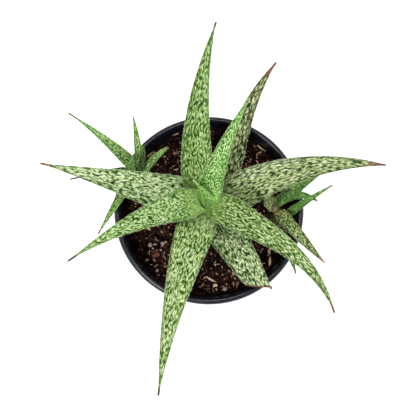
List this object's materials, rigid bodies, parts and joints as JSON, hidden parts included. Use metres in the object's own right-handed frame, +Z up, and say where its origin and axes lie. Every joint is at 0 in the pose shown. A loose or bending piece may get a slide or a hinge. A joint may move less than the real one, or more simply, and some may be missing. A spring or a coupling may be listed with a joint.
{
  "type": "potted aloe plant",
  "caption": "Succulent rosette of tapering toothed leaves with small side plants, growing in the soil of a round black plastic nursery pot.",
  "frame": {"origin": "centre of the pot's underside, on the surface it stands on", "axes": "+Z up along the pot's axis, +Y towards the back of the plant, +X towards its right, seen from the front"},
  "size_m": [0.1843, 0.1896, 0.1717],
  "materials": {
    "pot_plastic": "black injection moulded plastic, satin, scuffed and dusty at the rim",
    "soil_mix": "damp dark peat mix with red-brown bark chips, fibres and pale mineral grains",
    "stem_skin": "dull olive-brown stem skin with leaf scars",
    "leaf_bright": "young yellow-green fleshy leaf with fine cream flecks, satin",
    "leaf_green": "mid-green fleshy leaf densely flecked with pale cream-green, satin",
    "leaf_grey_green": "older grey-green fleshy leaf with coarse whitish flecks, satin",
    "leaf_pale": "pale blunt leaf stub, waxy"
  },
  "bodies": {
    "root": {"pot": "pot_plastic", "soil": "soil_mix", "stem": "stem_skin", "left_pup_stem": "stem_skin", "right_pup_stem": "stem_skin", "leaf_young": "leaf_bright", "leaf_inner": "leaf_bright", "leaf_front_right": "leaf_bright", "leaf_front_left": "leaf_bright", "leaf_back": "leaf_green", "leaf_front": "leaf_green", "leaf_right": "leaf_grey_green", "leaf_back_right": "leaf_grey_green", "leaf_left": "leaf_grey_green", "leaf_cut_front_right": "leaf_grey_green", "left_pup_leaf_back": "leaf_green", "left_pup_leaf_small": "leaf_green", "left_pup_leaf_right": "leaf_green", "left_pup_leaf_back_left": "leaf_green", "left_pup_leaf_front": "leaf_green", "left_pup_leaf_left": "leaf_green", "right_pup_leaf_young": "leaf_bright", "right_pup_leaf_blunt": "leaf_pale", "right_pup_leaf_right": "leaf_green", "right_pup_leaf_back_right": "leaf_green", "right_pup_leaf_high": "leaf_green", "right_pup_leaf_front_right": "leaf_green", "right_pup_leaf_front": "leaf_grey_green"}
  },
  "joints": []
}
